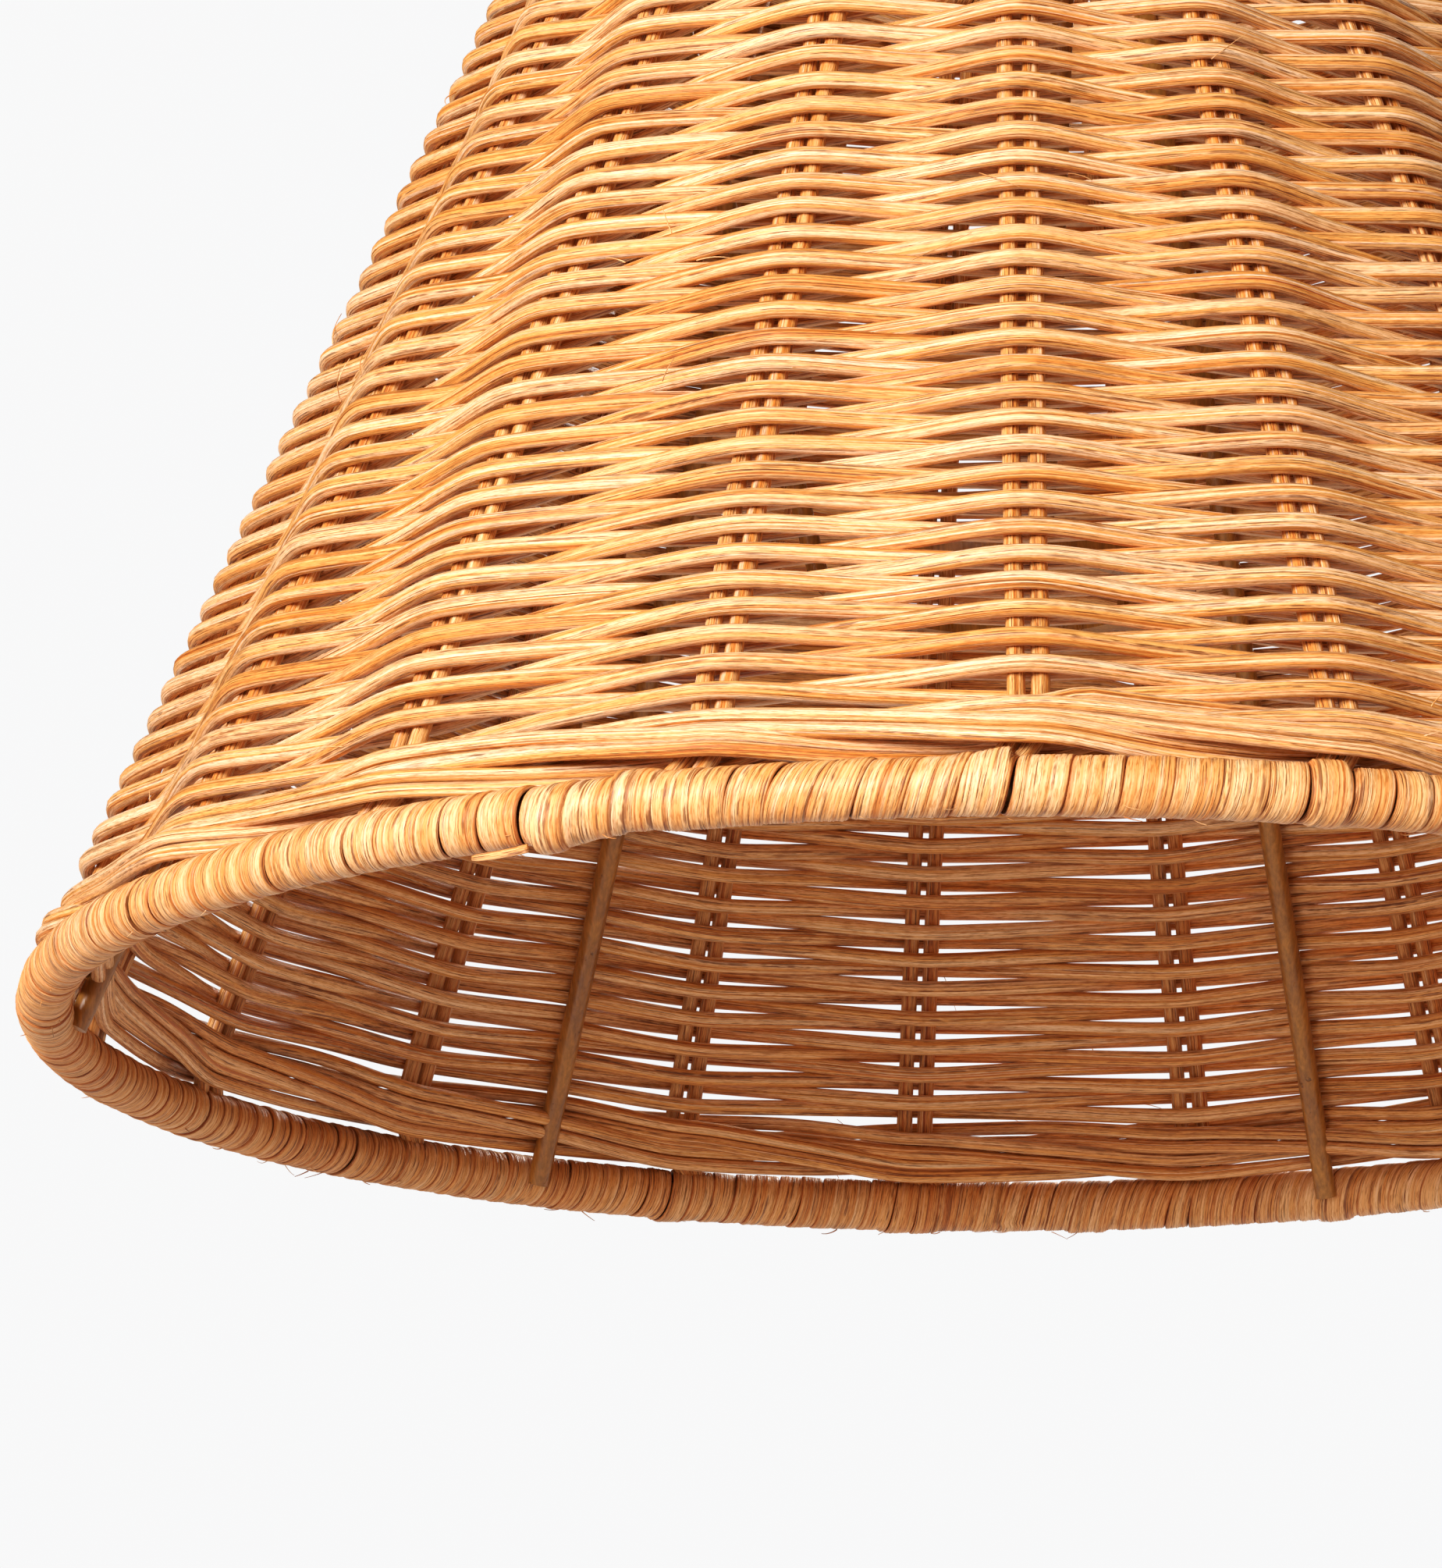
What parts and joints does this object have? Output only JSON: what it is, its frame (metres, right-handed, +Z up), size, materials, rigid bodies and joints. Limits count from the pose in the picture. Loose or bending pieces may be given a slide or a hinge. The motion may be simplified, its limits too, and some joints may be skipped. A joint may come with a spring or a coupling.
{
  "type": "lamp shade",
  "caption": "Conical lamp shade of round rattan reeds woven over paired stakes and a wire frame, with cane-wound rims and a ring that drops over an E27 lamp holder.",
  "frame": {"origin": "centre of the lowest plane of the wound rim, on the shade's axis", "axes": "+Z up along the shade's axis from the wide rim to the narrow top; -Y towards the viewer of the main view, +X to the viewer's right"},
  "size_m": [0.3, 0.3, 0.195],
  "materials": {
    "rattan_reed": "bare round rattan core, honey coloured, with fine pores along the reed",
    "cane_strip": "flat split cane, bare, with coarse fibre grooves along the strip",
    "frame_wire": "steel wire with a tan semi-gloss coat"
  },
  "bodies": {
    "root": {"bottom_ring": "frame_wire", "top_ring": "frame_wire", "carrier_ring": "frame_wire", "bottom_binding": "cane_strip", "top_binding": "cane_strip", "bottom_wale": "rattan_reed", "woven_wall": "rattan_reed", "top_wale": "rattan_reed", "frame_rib_1": "frame_wire", "frame_rib_2": "frame_wire", "frame_rib_3": "frame_wire", "frame_rib_4": "frame_wire", "frame_rib_5": "frame_wire", "frame_rib_6": "frame_wire", "fitter_arm_1": "frame_wire", "fitter_arm_2": "frame_wire", "fitter_arm_3": "frame_wire", "stake_pair_01": "rattan_reed", "stake_pair_02": "rattan_reed", "stake_pair_03": "rattan_reed", "stake_pair_04": "rattan_reed", "stake_pair_05": "rattan_reed", "stake_pair_06": "rattan_reed", "stake_pair_07": "rattan_reed", "stake_pair_08": "rattan_reed", "stake_pair_09": "rattan_reed", "stake_pair_10": "rattan_reed", "stake_pair_11": "rattan_reed", "stake_pair_12": "rattan_reed", "stake_pair_13": "rattan_reed", "stake_pair_14": "rattan_reed", "stake_pair_15": "rattan_reed", "stake_pair_16": "rattan_reed", "stake_pair_17": "rattan_reed", "stake_pair_18": "rattan_reed", "stake_pair_19": "rattan_reed"}
  },
  "joints": []
}
